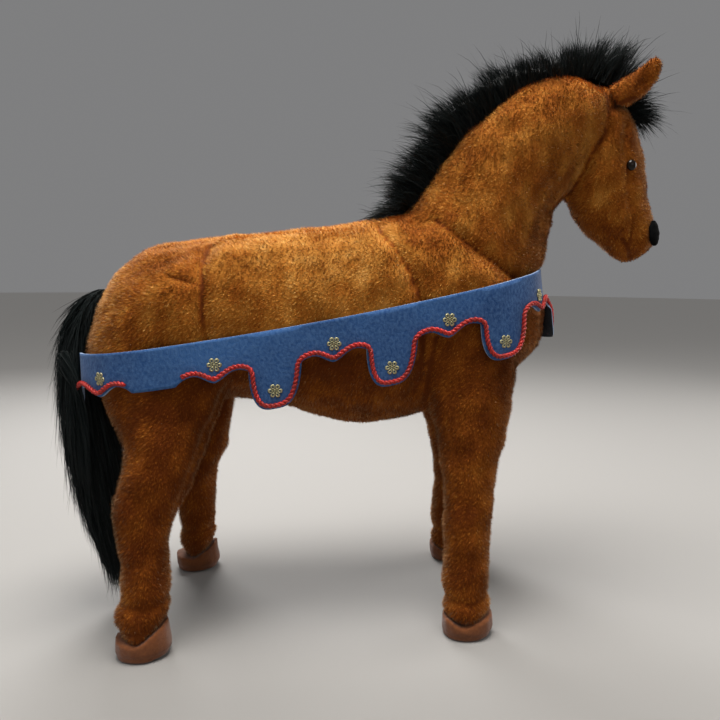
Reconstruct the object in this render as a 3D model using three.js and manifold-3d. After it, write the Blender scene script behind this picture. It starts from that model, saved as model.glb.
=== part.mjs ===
// A stuffed plush horse for a child to sit on, with suede hooves, a long-pile mane and tail,
// and a stiff scalloped band round its body, edged with twisted cord and set with small rosettes.
// Millimetres, +Z up, the horse faces +X, and the soles stand on z = 0.
import * as THREE from "three";
import { mergeVertices } from "three/addons/utils/BufferGeometryUtils.js";
import Module from "manifold-3d";

const wasm = await Module();
wasm.setup();

// Driving sizes.
const pollHeight = 705; // ground to the top of the head, between the ears
const fitGap = 0.3; // between pieces that touch
const bandThickness = 3;
const bandArchDepth = 39; // top edge of the band to the top of an arch in its lower edge
const bandDipDepth = 50; // to the tip of the small dip between two arches
const bandLappetDepth = 92; // to the round bottom of a lappet
const bandSag = 10; // how far the top edge dips half way along
const bandFlare = 12; // how far the lappet at the chest hangs out from the line of the top edge
const tuckedDepth = 48; // where one lappet is folded up behind the band
const lappetPitch = 136;
const lappetWidth = 60;
const archPlace = 0.32; // where an arch tops out, as a share of the pitch from the lappet's middle
const cordDiameter = 5;
const cordInset = 3; // the cord's centre above the band's lower edge
const rosetteDiameter = 19;
const rosetteThickness = 1.6;
const rosetteRise = 21; // a rosette's centre above the tip of its lappet or dip
// The plush edge's height above the ground, and how far back of the hoof's middle it bends.
const foreHoof = { heel: 31, flank: 18, toe: 30, bend: 10 };
const hindHoof = { heel: 26, flank: 21, toe: 45, bend: 3 };
const soleHalfLength = 28;
const soleHalfWidth = 26;
const eyeDiameter = 16;
const nostrilHeight = 36;
const nostrilWidth = 22;
const nostrilPadding = 11; // the oval pad's full thickness, most of it sunk in the muzzle
const maneWidth = 48;
const maneDepth = 52; // from its root on the crest of the neck to its outer edge
const strideShift = 14; // left feet this far forward and right feet this far back of square

// The figure is drawn on a grid of a hundred parts to the height of the poll.
const part = pollHeight / 100;
const trunkHalfWidth = 15.6 * part; // at the flanks, where the band lies against it
const forward = new THREE.Vector3(1, 0, 0);
const left = 1;
const right = -1;

const colours = {
  plush: 0xb0692a,
  suede: 0x7d4a38,
  hair: 0x101414,
  velvet: 0x2f5c9e,
  cord: 0xc02020,
  gold: 0xb7a35a,
  glass: 0x0c0f12,
};

const finish = (colour, roughness = 0.9, metalness = 0) =>
  new THREE.MeshStandardMaterial({ color: colour, roughness, metalness });

// A station of a loft: its middle on the grid, half its depth, half its width and how square it is.
const station = (x, y, z, deep, wide, square = 2) => ({ x, y, z, deep, wide, square });

// One point of a rounded outline: an ellipse at square = 2, and nearer to a box above that.
function roundedPoint(angle, square) {
  const power = 2 / square;
  const along = Math.cos(angle);
  const across = Math.sin(angle);
  return [
    Math.sign(along) * Math.abs(along) ** power,
    Math.sign(across) * Math.abs(across) ** power,
  ];
}

// A closed body through stations, with domed ends. Its rings lie across the line of the stations'
// middles, or across one facing for them all. The swell is a distance in millimetres added all round.
function loft(stations, options) {
  const { rings, sides, swell = 0, startDome = 0.5, endDome = 0.5, scale = part } = options;
  const middles = new THREE.CatmullRomCurve3(
    stations.map((s) => new THREE.Vector3(s.x, s.y, s.z).multiplyScalar(scale)),
    false,
    "centripetal",
  );
  const sizes = new THREE.CatmullRomCurve3(
    stations.map((s) => new THREE.Vector3(s.deep, s.wide, s.square)),
  );
  const ringList = [];
  const addRing = (t, shrink, push) => {
    const tangent = options.facing ?? middles.getTangent(t);
    const across = new THREE.Vector3(0, 1, 0).addScaledVector(tangent, -tangent.y).normalize();
    const deepWay = new THREE.Vector3().crossVectors(across, tangent);
    const size = sizes.getPoint(t);
    const centre = middles.getPoint(t).addScaledVector(tangent, push);
    const ring = [];
    for (let k = 0; k < sides; k++) {
      const [c, s] = roundedPoint((2 * Math.PI * k) / sides, size.z);
      ring.push(
        centre
          .clone()
          .addScaledVector(deepWay, c * shrink * (size.x * scale + swell))
          .addScaledVector(across, s * shrink * (size.y * scale + swell)),
      );
    }
    ringList.push(ring);
  };
  const domeSteps = [1.4, 1.0, 0.55];
  const domeReach = (t, dome) => dome * Math.min(sizes.getPoint(t).x, sizes.getPoint(t).y) * scale;
  if (startDome > 0)
    for (const a of domeSteps)
      addRing(0, Math.cos(a), -Math.sin(a) * (domeReach(0, startDome) + swell));
  for (let i = 0; i <= rings; i++) addRing(i / rings, 1, 0);
  if (endDome > 0)
    for (const a of [...domeSteps].reverse())
      addRing(1, Math.cos(a), Math.sin(a) * (domeReach(1, endDome) + swell));
  return closedFromRings(ringList);
}

// Joins rings of equal length into a closed geometry, with a point in the middle of each end.
function closedFromRings(ringList) {
  const sides = ringList[0].length;
  const points = ringList.flat();
  const faces = [];
  for (let i = 0; i + 1 < ringList.length; i++)
    for (let k = 0; k < sides; k++) {
      const a = i * sides + k;
      const b = i * sides + ((k + 1) % sides);
      faces.push(a, b, b + sides, a, b + sides, a + sides);
    }
  for (const end of [0, ringList.length - 1]) {
    const hub = points.length;
    const ring = ringList[end];
    points.push(
      ring.reduce((sum, p) => sum.add(p), new THREE.Vector3()).divideScalar(sides),
    );
    for (let k = 0; k < sides; k++) {
      const a = end * sides + k;
      const b = end * sides + ((k + 1) % sides);
      if (end) faces.push(hub, a, b);
      else faces.push(hub, b, a);
    }
  }
  return new THREE.BufferGeometry().setFromPoints(points).setIndex(faces);
}

// Between three.js geometry and solids that can be joined and cut.
function solid(geometry) {
  const bare = geometry.clone();
  bare.deleteAttribute("normal");
  bare.deleteAttribute("uv");
  const merged = mergeVertices(bare, 1e-3);
  const made = new wasm.Manifold(
    new wasm.Mesh({
      numProp: 3,
      vertProperties: new Float32Array(merged.attributes.position.array),
      triVerts: new Uint32Array(merged.index.array),
    }),
  );
  return made.volume() < 0 ? solid(turnedOut(merged)) : made;
}

function turnedOut(geometry) {
  const index = geometry.index.array;
  for (let i = 0; i < index.length; i += 3)
    [index[i], index[i + 1]] = [index[i + 1], index[i]];
  return geometry;
}

function geometryOf(made) {
  const mesh = made.getMesh();
  const positions = new Float32Array(mesh.numVert * 3);
  for (let i = 0; i < mesh.numVert; i++)
    positions.set(mesh.vertProperties.subarray(i * mesh.numProp, i * mesh.numProp + 3), i * 3);
  return new THREE.BufferGeometry()
    .setAttribute("position", new THREE.BufferAttribute(positions, 3))
    .setIndex(new THREE.BufferAttribute(new Uint32Array(mesh.triVerts), 1));
}

// Keeps the largest closed body, so that a cut leaves no crumbs.
function largest(made) {
  return made.decompose().sort((a, b) => b.volume() - a.volume())[0];
}

const joined = (solids) => solids.reduce((sum, next) => sum.add(next));

// The sewn body: trunk, neck, head and four legs.
function trunk(swell) {
  const flank = trunkHalfWidth / part;
  return loft(
    [
      station(-39.4, 0, 48.2, 4.6, 6.2),
      station(-38.2, 0, 48.3, 7.8, 8.6),
      station(-36.4, 0, 49.2, 10.6, 10.8),
      station(-33.8, 0, 50.6, 12.9, 12.8),
      station(-29.6, 0, 52.1, 14.1, 14.6, 2.1),
      station(-24, 0, 53.4, 14.4, flank, 2.2),
      station(-14, 0, 54.6, 14.4, flank, 2.2),
      station(-4, 0, 54, 15.8, flank, 2.2),
      station(5.7, 0, 53.2, 18, flank, 2.2),
      station(14, 0, 54.2, 19, flank, 2.2),
      station(22, 0, 55.4, 18, flank, 2.2),
      station(29, 0, 55.6, 15.6, 14.6, 2.1),
      station(34.6, 0, 55.2, 12.4, 12.4),
      station(38.6, 0, 55, 9.2, 9.6),
    ],
    { rings: 20, sides: 16, swell, startDome: 0.3, endDome: 0.4, facing: forward },
  );
}

function neck(swell) {
  return loft(
    [
      station(26, 0, 61.6, 15.2, 13),
      station(29.4, 0, 68.8, 14, 11.6),
      station(32.5, 0, 76, 12.1, 10),
      station(36.2, 0, 82.2, 11, 9),
      station(41, 0, 87.2, 10.3, 8.4),
      station(45.6, 0, 90.4, 9.2, 7.8),
      station(49.2, 0, 92, 7.8, 7.2),
    ],
    { rings: 10, sides: 14, swell },
  );
}

function head(swell) {
  return loft(
    [
      station(50.8, 0, 93.8, 6.2, 6.2),
      station(52.4, 0, 89.2, 8, 6.6),
      station(53.9, 0, 83.2, 8.2, 6.7),
      station(55.2, 0, 77.2, 7.4, 6.2, 2.2),
      station(58.5, 0, 72.2, 5.6, 5.4, 2.3),
      station(61, 0, 69.1, 4.7, 4.8, 2.5),
    ],
    { rings: 10, sides: 14, swell, startDome: 0.7, endDome: 0.62 },
  );
}

// How far a leg's line leans forward or back, most at the foot and none at the trunk.
const strideAt = (z, side) =>
  (side * strideShift * THREE.MathUtils.clamp((45 - z) / 26, 0, 1)) / part;

function foreLeg(side, swell) {
  const line = [
    [27, 7.4, 58, 8.4, 6.4],
    [26.9, 8.9, 49.5, 8.2, 6.2],
    [26.9, 9.9, 43, 7.6, 5.6],
    [27.2, 11.2, 38.6, 7.2, 5.3],
    [27.5, 12.1, 34, 6.1, 4.9],
    [27.3, 13, 29.6, 5.3, 4.5],
    [27.5, 13.9, 25, 4.75, 4.2],
    [27.5, 14.8, 20, 4.2, 3.9],
    [27.3, 15.7, 15, 4.05, 3.8],
    [27.1, 16.4, 10.6, 4, 3.8],
    [27.2, 17, 6.6, 3.9, 3.75],
    [27.3, 17.1, 3.6, 4, 3.8],
    [27.3, 17.1, 1.6, 3.9, 3.7],
  ];
  return leg(line, side, swell);
}

function hindLeg(side, swell) {
  const line = [
    [-26.2, 6.2, 53, 9.2, 7.6],
    [-26.2, 8.2, 48.5, 10.2, 7],
    [-25.9, 9.3, 43, 10.7, 6.1],
    [-25.2, 10.2, 38.4, 9.4, 5.4],
    [-24.85, 11.7, 34, 7.4, 5],
    [-25.1, 13.4, 29.6, 6, 4.6],
    [-26.3, 14.3, 26, 5.5, 4.4],
    [-27.5, 15.1, 22.4, 5.1, 4.2],
    [-27.2, 15.8, 18.6, 4.4, 3.95],
    [-26.75, 16.5, 15, 3.75, 3.7],
    [-26.8, 17, 11.4, 3.8, 3.8],
    [-26.85, 17.4, 8, 4, 3.95],
    [-26.9, 17.7, 5, 4.1, 4],
    [-27.1, 17.7, 2, 4.1, 3.9],
  ];
  return leg(line, side, swell);
}

function leg(line, side, swell) {
  const stations = line.map(([x, y, z, deep, wide]) =>
    station(x + strideAt(z, side), side * y, z, deep, wide, 2.2),
  );
  return loft(stations, { rings: 13, sides: 10, swell, endDome: 0 });
}

const feet = [
  { name: "hoof_fore_right", x: 27.4, y: 17.1, side: right, edge: foreHoof },
  { name: "hoof_fore_left", x: 27.4, y: 17.1, side: left, edge: foreHoof },
  { name: "hoof_hind_right", x: -27.1, y: 17.7, side: right, edge: hindHoof },
  { name: "hoof_hind_left", x: -27.1, y: 17.7, side: left, edge: hindHoof },
];
const footCentre = (foot) => [
  foot.x * part + foot.side * strideShift,
  foot.side * foot.y * part,
];

// Everything below the seam between plush and hoof, whose line bends at the hoof's flanks.
function hoofZone(foot, drop, floor) {
  const [x] = footCentre(foot);
  const { heel, flank, toe, bend } = foot.edge;
  const half = soleHalfLength + 4;
  const outline = new THREE.Shape([
    new THREE.Vector2(x - 2 * half, floor),
    new THREE.Vector2(x + 2 * half, floor),
    new THREE.Vector2(x + 2 * half, 2 * toe - flank - drop),
    new THREE.Vector2(x - bend, flank - drop),
    new THREE.Vector2(x - 2 * half, 2 * heel - flank - drop),
  ]);
  const width = 14 * part;
  const slab = new THREE.ExtrudeGeometry(outline, { depth: width, bevelEnabled: false });
  slab.rotateX(Math.PI / 2).translate(0, footCentre(foot)[1] + width / 2, 0);
  return solid(slab);
}

function hoof(foot) {
  const [x, y] = footCentre(foot);
  const at = (z, deep, wide, shift = 0) => station(x + shift, y, z, deep, wide, 2.3);
  const shape = loft(
    [
      at(-2, soleHalfLength - 1, soleHalfWidth - 1, 2),
      at(5, soleHalfLength + 3.5, soleHalfWidth + 3, 1),
      at(16, soleHalfLength + 5, soleHalfWidth + 4.5),
      at(32, soleHalfLength + 2.5, soleHalfWidth + 3, -1),
      at(foot.edge.toe + 14, soleHalfLength + 1, soleHalfWidth + 1.5, -2),
    ],
    { rings: 5, sides: 14, startDome: 0, endDome: 0, scale: 1 },
  );
  return largest(solid(shape).intersect(hoofZone(foot, fitGap, 0)));
}

// The band's loop seen from above: two half circles joined by straight flanks, from the chest
// round the right side to the rump and back along the left.
const loopRadius = trunkHalfWidth + fitGap + bandThickness / 2;
const loopFront = 41.4 * part;
const loopRear = -41.4 * part;
const loop = new THREE.Path();
loop.absarc(loopFront - loopRadius, 0, loopRadius, 0, -Math.PI / 2, true);
loop.lineTo(loopRear + loopRadius, -loopRadius);
loop.absarc(loopRear + loopRadius, 0, loopRadius, -Math.PI / 2, (-3 * Math.PI) / 2, true);
loop.lineTo(loopFront - loopRadius, loopRadius);
loop.absarc(loopFront - loopRadius, 0, loopRadius, Math.PI / 2, 0, true);
const straight = loopFront - loopRear - 2 * loopRadius;
const halfLoop = Math.PI * loopRadius + straight;

// A point at a distance along the loop from the chest, positive round the right side, and its outward way.
function onLoop(distance, outward = 0) {
  const s = ((distance % (2 * halfLoop)) + 2 * halfLoop) % (2 * halfLoop);
  const quarter = (Math.PI / 2) * loopRadius;
  const radius = loopRadius + outward;
  const fold = s > halfLoop ? 2 * halfLoop - s : s;
  const side = s > halfLoop ? left : right;
  let x;
  let y;
  let angle;
  if (fold < quarter) {
    angle = fold / loopRadius;
    x = loopFront - loopRadius + radius * Math.cos(angle);
    y = radius * Math.sin(angle);
  } else if (fold < quarter + straight) {
    angle = Math.PI / 2;
    x = loopFront - loopRadius - (fold - quarter);
    y = radius;
  } else {
    angle = (fold - straight) / loopRadius;
    x = loopRear + loopRadius + radius * Math.cos(angle);
    y = radius * Math.sin(angle);
  }
  return { x, y: side * y, turn: side * angle };
}

// The band's top edge rises from the rump to the chest.
const bandRearTop = 48.3 * part;
const bandFrontTop = 63.8 * part;
function bandTop(x) {
  const t = (x - loopRear) / (loopFront - loopRear);
  return THREE.MathUtils.lerp(bandRearTop, bandFrontTop, t) - bandSag * 4 * t * (1 - t);
}

// How far along the pattern a place on the band is: whole numbers are lappets, halves are dips.
const evenLappets = Math.floor((halfLoop - lappetPitch / 2) / lappetPitch) + 0.5;
function patternAt(distance) {
  const along = Math.abs(distance);
  const even = evenLappets * lappetPitch;
  if (along <= even) return along / lappetPitch;
  return evenLappets + (0.5 * (along - even)) / (halfLoop - even);
}

// Depth of the band below its top edge.
const foldedLappet = 4; // on the right side this one is tucked up behind the band
function bandDepth(distance) {
  const pattern = patternAt(distance);
  const nearest = Math.round(pattern);
  const away = Math.abs(pattern - nearest);
  const halfLappet = lappetWidth / lappetPitch / 2;
  if (distance > 0 && nearest === foldedLappet && away < halfLappet) {
    const share = THREE.MathUtils.clamp((halfLappet - away) / (0.2 * halfLappet), 0, 1);
    return THREE.MathUtils.lerp(bandArchDepth + 4, tuckedDepth, share);
  }
  if (away < halfLappet) {
    const round = Math.sqrt(1 - (away / halfLappet) ** 3.2);
    return bandArchDepth + 4 + (bandLappetDepth - bandArchDepth - 4) * round;
  }
  if (away < archPlace) {
    const t = (archPlace - away) / (archPlace - halfLappet);
    return bandArchDepth + 4 * t * t;
  }
  const t = (away - archPlace) / (0.5 - archPlace);
  return bandArchDepth + (bandDipDepth - bandArchDepth) * t * t * (3 - 2 * t) * (0.75 + 0.25 * t);
}

// Distances along the band where its edge has a corner of the faceted outline.
function bandStops() {
  const shares = [0, 0.11, 0.17, 0.21, archPlace, 0.41];
  const stops = [];
  const last = Math.ceil(evenLappets + 0.5);
  const distanceOf = (pattern) => {
    if (pattern <= evenLappets) return pattern * lappetPitch;
    const even = evenLappets * lappetPitch;
    return even + ((pattern - evenLappets) / 0.5) * (halfLoop - even);
  };
  for (let n = 0; n <= last; n++)
    for (const share of shares)
      for (const way of share ? [-1, 1] : [1]) stops.push(n + way * share);
  for (let n = 0; n < last; n++) stops.push(n + 0.5);
  const inside = stops.filter((p) => p > 0 && p < evenLappets + 0.5).map(distanceOf);
  return [0, ...inside, halfLoop, ...inside.map((d) => -d)].sort((a, b) => a - b);
}

// Leans the front of the band, and all that is on it, out below its top edge.
function leaned(geometry) {
  const spots = geometry.attributes.position;
  for (let i = 0; i < spots.count; i++) {
    const x = spots.getX(i);
    const ahead = THREE.MathUtils.clamp((x - loopFront) / loopRadius + 1, 0, 1.1);
    const below = (bandTop(Math.min(x, loopFront)) - spots.getZ(i)) / bandLappetDepth;
    spots.setX(i, x + bandFlare * ahead * below);
  }
  return geometry;
}

// A closed ring round the body with four corners to each stop, from below to above.
function bandRing(inner, outer, topOf, bottomOf) {
  const points = [];
  const faces = [];
  const stops = bandStops();
  for (const distance of stops) {
    const x = onLoop(distance).x;
    for (const [outward, height] of [
      [inner, bottomOf(distance, x)],
      [outer, bottomOf(distance, x)],
      [outer, topOf(x)],
      [inner, topOf(x)],
    ]) {
      const spot = onLoop(distance, outward);
      points.push(new THREE.Vector3(spot.x, spot.y, height));
    }
  }
  for (let i = 0; i < stops.length; i++)
    for (let k = 0; k < 4; k++) {
      const a = 4 * i + k;
      const b = 4 * i + ((k + 1) % 4);
      const c = 4 * ((i + 1) % stops.length) + ((k + 1) % 4);
      const d = 4 * ((i + 1) % stops.length) + k;
      faces.push(a, b, c, a, c, d);
    }
  return leaned(new THREE.BufferGeometry().setFromPoints(points).setIndex(faces));
}

function band() {
  return bandRing(
    -bandThickness / 2,
    bandThickness / 2,
    bandTop,
    (distance, x) => bandTop(x) - bandDepth(distance),
  );
}

// The room that the band, its cord and its rosettes take, out to a given distance.
function bandRoom(outer) {
  return solid(
    bandRing(
      -bandThickness / 2 - fitGap,
      outer,
      (x) => bandTop(x) + fitGap,
      (distance, x) => bandTop(x) - bandLappetDepth - fitGap,
    ),
  );
}

// The trim cord lies on the band's face along its lower edge, from one end of the tucked lappet
// all the way round to the other.
const cordOut = bandThickness / 2 + fitGap + cordDiameter / 2;
const tuckedHalf = 0.24; // how far from the tucked lappet's middle the cord ends, in pitches
function trimCord() {
  const from = (foldedLappet + tuckedHalf) * lappetPitch - 2 * halfLoop;
  const to = (foldedLappet - tuckedHalf) * lappetPitch;
  const stops = bandStops()
    .flatMap((d) => [d, d - 2 * halfLoop])
    .filter((d) => d > from + 1 && d < to - 1)
    .sort((a, b) => a - b);
  const places = [from, ...stops, to].map((distance) => {
    const spot = onLoop(distance, cordOut);
    const lift = bandTop(onLoop(distance).x) - bandDepth(wrapped(distance)) + cordInset;
    return new THREE.Vector3(spot.x, spot.y, lift);
  });
  const route = new THREE.CatmullRomCurve3(places, false, "centripetal");
  const section = new THREE.Shape();
  section.absarc(0, 0, cordDiameter / 2, 0, 2 * Math.PI);
  return leaned(
    new THREE.ExtrudeGeometry(section, {
      steps: places.length,
      curveSegments: 3,
      bevelEnabled: false,
      extrudePath: route,
    }),
  );
}

const wrapped = (distance) => (distance < -halfLoop ? distance + 2 * halfLoop : distance);

// A rosette with six petals, flat against the band.
function rosette(distance) {
  const petals = 6;
  const radius = rosetteDiameter / 2;
  const corners = [];
  for (let k = 0; k < 2 * petals; k++) {
    const reach = k % 2 ? radius * 0.78 : radius;
    const angle = (Math.PI * k) / petals;
    corners.push(new THREE.Vector2(reach * Math.cos(angle), reach * Math.sin(angle)));
  }
  const shape = new THREE.ExtrudeGeometry(new THREE.Shape(corners), {
    depth: rosetteThickness,
    bevelEnabled: false,
  });
  const bow = loopRadius - Math.sqrt(loopRadius ** 2 - radius ** 2); // the loop's own curve under it
  const spot = onLoop(distance, bandThickness / 2 + fitGap + bow);
  const height = bandTop(onLoop(distance).x) - bandDepth(distance) + rosetteRise;
  shape.rotateX(Math.PI / 2).rotateZ(Math.PI / 2 + spot.turn).translate(spot.x, spot.y, height);
  return leaned(shape);
}

// A pointed ear, dished on its front, leaning forward and a little out.
function ear(side) {
  const line = [
    [53.6, 4.6, 94.6, 2.3, 1.6],
    [55.7, 4.9, 95.7, 2.4, 1.6],
    [57.9, 5.2, 97.2, 2.3, 1.4],
    [59.9, 5.5, 99.2, 2, 1.1],
    [61.1, 5.7, 101.2, 1.2, 0.8],
  ];
  const leaf = loft(
    line.map(([x, y, z, deep, wide]) => station(x, side * y, z, deep, wide)),
    { rings: 5, sides: 8, endDome: 0.8 },
  );
  const scoop = new THREE.SphereGeometry(1, 10, 6);
  scoop.scale(3.4 * part, 1.1 * part, 1.2 * part).rotateY(-Math.PI / 4.7);
  scoop.translate(58.1 * part, side * (5.3 + 1.8) * part, 97.2 * part);
  return solid(leaf).subtract(solid(scoop));
}

function eye(side) {
  const ball = new THREE.SphereGeometry(eyeDiameter / 2, 10, 7);
  ball.translate(56.9 * part, side * 5.65 * part, 82.7 * part);
  return solid(ball);
}

function nostril(side) {
  const pad = new THREE.SphereGeometry(0.5, 10, 7);
  pad.scale(nostrilPadding, nostrilWidth, nostrilHeight).rotateY(-0.1).rotateZ(side * 0.95);
  pad.translate(63 * part, side * 4.2 * part, 70.6 * part);
  return solid(pad);
}

// The mane runs up the crest, over the poll and down on to the forehead.
function mane() {
  const half = maneWidth / 2 / part;
  const high = maneDepth / 2 / part;
  const line = [
    [12.6, 72.4, 0.35, 0.5],
    [16.4, 77.4, 0.75, 0.8],
    [20, 83.2, 1, 1],
    [24, 88.8, 1.05, 1],
    [28.8, 93.8, 1.05, 1],
    [34.4, 97.4, 1, 1],
    [40.4, 99.2, 0.95, 1],
    [46.6, 100.8, 0.95, 0.95],
    [52.4, 101.4, 0.9, 0.85],
    [57.4, 99.2, 0.75, 0.7],
    [60.8, 95.2, 0.6, 0.6],
    [63.2, 91.2, 0.4, 0.45],
  ];
  return loft(
    line.map(([x, z, deep, wide]) => station(x, 0, z, deep * high, wide * half)),
    { rings: 14, sides: 8, startDome: 0.7, endDome: 0.7 },
  );
}

function tail() {
  return loft(
    [
      station(-35.2, 0, 61.4, 2, 2.4),
      station(-38.6, 0, 58.8, 2.8, 3.2),
      station(-41.4, 0, 54.6, 3, 4),
      station(-42.8, 0, 48.4, 3, 4.6),
      station(-42.4, 0, 41.6, 3.9, 5),
      station(-41, 0, 35.4, 5, 5.2),
      station(-40, 0, 28.6, 5.2, 4.8),
      station(-39.4, 0, 21.6, 4.8, 4.2),
      station(-38.4, 0, 15.6, 3.7, 3.2),
      station(-37.4, 0, 10.6, 2.3, 2),
      station(-36.6, 0, 7.6, 1, 1.1),
    ],
    { rings: 14, sides: 8, startDome: 0.7, endDome: 0.9 },
  );
}

// Trunk, neck, head and legs as one solid. The swell makes the same shape a little larger, to cut with.
function wholeBody(swell) {
  const limbs = [left, right].flatMap((side) => [foreLeg(side, swell), hindLeg(side, swell)]);
  const whole = joined([trunk(swell), neck(swell), head(swell), ...limbs].map(solid));
  return feet.reduce((rest, foot) => rest.subtract(hoofZone(foot, 0, -part)), whole);
}

// Puts a piece into the group under its name.
const horse = new THREE.Group();
function place(name, geometry, material) {
  const mesh = new THREE.Mesh(geometry, material);
  mesh.name = name;
  horse.add(mesh);
}

const plush = finish(colours.plush);
const body = largest(wholeBody(0).subtract(bandRoom(6 * part)));
const bodyAndGap = wholeBody(fitGap);
const clearOfBody = (made) => largest(made.subtract(bodyAndGap));
const sides = [
  ["right", right],
  ["left", left],
];

place("body", geometryOf(body), plush);
for (const foot of feet) place(foot.name, geometryOf(hoof(foot)), finish(colours.suede, 0.85));
for (const [word, side] of sides) {
  place("ear_" + word, geometryOf(clearOfBody(ear(side))), plush);
  place("eye_" + word, geometryOf(clearOfBody(eye(side))), finish(colours.glass, 0.15));
  place("nostril_" + word, geometryOf(clearOfBody(nostril(side))), finish(colours.hair));
}
place("mane", geometryOf(clearOfBody(solid(mane()))), finish(colours.hair, 0.7));
const behindBand = bandThickness / 2 + cordDiameter + 6 * fitGap;
place(
  "tail",
  geometryOf(clearOfBody(solid(tail()).subtract(bandRoom(behindBand)))),
  finish(colours.hair, 0.7),
);
place("band", band(), finish(colours.velvet));
place("band_cord", trimCord(), finish(colours.cord, 0.6));

// One rosette over every lappet and every dip, but none on the tucked lappet.
const halves = Math.round(2 * evenLappets + 1);
let count = 0;
for (let k = -halves + 1; k <= halves; k++) {
  const tucked = k === 2 * foldedLappet;
  if (tucked) continue;
  count += 1;
  const distance = Math.abs(k) === halves ? halfLoop : (k / 2) * lappetPitch;
  place("rosette_" + String(count).padStart(2, "0"), rosette(distance), finish(colours.gold, 0.6));
}

// Moves the group so that the middle of its box is over the origin.
const middle = new THREE.Box3().setFromObject(horse).getCenter(new THREE.Vector3());
horse.position.set(-middle.x, -middle.y, 0);

export default horse;
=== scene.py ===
import math
import bpy
import bmesh
import numpy as np
from mathutils import Matrix, Vector
from mathutils.bvhtree import BVHTree


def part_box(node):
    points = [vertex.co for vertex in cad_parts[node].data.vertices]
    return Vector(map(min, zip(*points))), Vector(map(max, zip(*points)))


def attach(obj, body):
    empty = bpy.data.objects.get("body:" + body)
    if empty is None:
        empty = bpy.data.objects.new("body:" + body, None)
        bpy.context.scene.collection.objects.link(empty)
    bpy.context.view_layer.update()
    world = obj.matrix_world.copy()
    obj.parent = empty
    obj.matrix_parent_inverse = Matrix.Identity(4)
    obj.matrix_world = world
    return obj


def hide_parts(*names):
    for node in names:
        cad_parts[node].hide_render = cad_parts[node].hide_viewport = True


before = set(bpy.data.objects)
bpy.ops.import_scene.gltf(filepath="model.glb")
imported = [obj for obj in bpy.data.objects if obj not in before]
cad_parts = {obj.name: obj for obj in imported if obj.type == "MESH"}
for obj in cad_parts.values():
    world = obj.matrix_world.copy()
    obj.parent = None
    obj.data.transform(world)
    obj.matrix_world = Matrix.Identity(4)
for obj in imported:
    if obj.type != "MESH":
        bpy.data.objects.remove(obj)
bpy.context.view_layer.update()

bpy.context.scene.view_settings.view_transform = "Standard"

gridStep = 0.00705  # the figure's grid, a hundredth of the poll's height
gridShift = 0.0666  # the grid's origin lies this far ahead of the box's middle


def onGrid(x, y, z):
    return np.array([x * gridStep - gridShift, y * gridStep, z * gridStep])


def deselectAll():
    for thing in bpy.context.selected_objects:
        thing.select_set(False)


def makeActive(piece):
    deselectAll()
    bpy.context.view_layer.objects.active = piece
    piece.select_set(True)


def applyAll(piece):
    makeActive(piece)
    for modifier in list(piece.modifiers):
        bpy.ops.object.modifier_apply(modifier=modifier.name)


def linked(name, data):
    thing = bpy.data.objects.new(name, data)
    bpy.context.scene.collection.objects.link(thing)
    return thing


def newPiece(name, points, faces, materials):
    mesh = bpy.data.meshes.new(name)
    mesh.from_pydata([tuple(p) for p in points], [], [tuple(f) for f in faces])
    for material in materials:
        mesh.materials.append(material)
    mesh.polygons.foreach_set("use_smooth", np.ones(len(mesh.polygons), bool))
    mesh.update()
    return linked(name, mesh)


def copyOfNode(node, name):
    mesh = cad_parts[node].data.copy()
    mesh.materials.clear()
    shell = bmesh.new()
    shell.from_mesh(mesh)
    bmesh.ops.remove_doubles(shell, verts=shell.verts, dist=1e-5)
    shell.to_mesh(mesh)
    shell.free()
    return linked(name, mesh)


def remeshed(node, name, values):
    # a copy of the node's solid with an even mesh, softened a little
    piece = copyOfNode(node, name)
    closer = piece.modifiers.new("evenMesh", "REMESH")
    closer.mode = "VOXEL"
    closer.voxel_size = values["voxel"]
    closer.use_smooth_shade = True
    softer = piece.modifiers.new("softer", "SMOOTH")
    softer.factor = 0.5
    softer.iterations = values["smoothing"]
    applyAll(piece)
    return piece


def rides(piece):
    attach(piece, "root")


def standsFor(piece, node):
    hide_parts(node)
    rides(piece)


def pointsOf(mesh, what="co"):
    flat = np.empty(len(mesh.vertices) * 3, np.float32)
    mesh.vertices.foreach_get(what, flat)
    return flat.reshape(-1, 3).astype(float)


def shapeOf(mesh):
    return pointsOf(mesh), pointsOf(mesh, "normal")


def setPoints(mesh, points):
    mesh.vertices.foreach_set("co", points.astype(np.float32).ravel())
    mesh.update()


def waves(points, size, seed, count=14):
    # a smooth wandering value between about -1 and 1, with bumps of the given size
    dice = np.random.default_rng(seed)
    total = np.zeros(len(points))
    for _ in range(count):
        way = dice.normal(size=3)
        way *= dice.uniform(0.6, 1.5) / np.linalg.norm(way) * math.pi / size
        total += np.sin(points @ way + dice.uniform(0, 2 * math.pi))
    return total / math.sqrt(count / 2) / 1.6


def unit(rows):
    return rows / np.maximum(np.linalg.norm(rows, axis=1, keepdims=True), 1e-12)


def rise(value, start, run):
    # from 0 at the start to 1 one run further on
    return np.clip((value - start) / run, 0, 1)


# finishes

def newMaterial(name, **values):
    material = bpy.data.materials.new(name)
    material.use_nodes = True
    shader = material.node_tree.nodes["Principled BSDF"]
    for socket, value in values.items():
        shader.inputs[socket].default_value = value
    return material, material.node_tree.nodes, material.node_tree.links, shader


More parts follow.
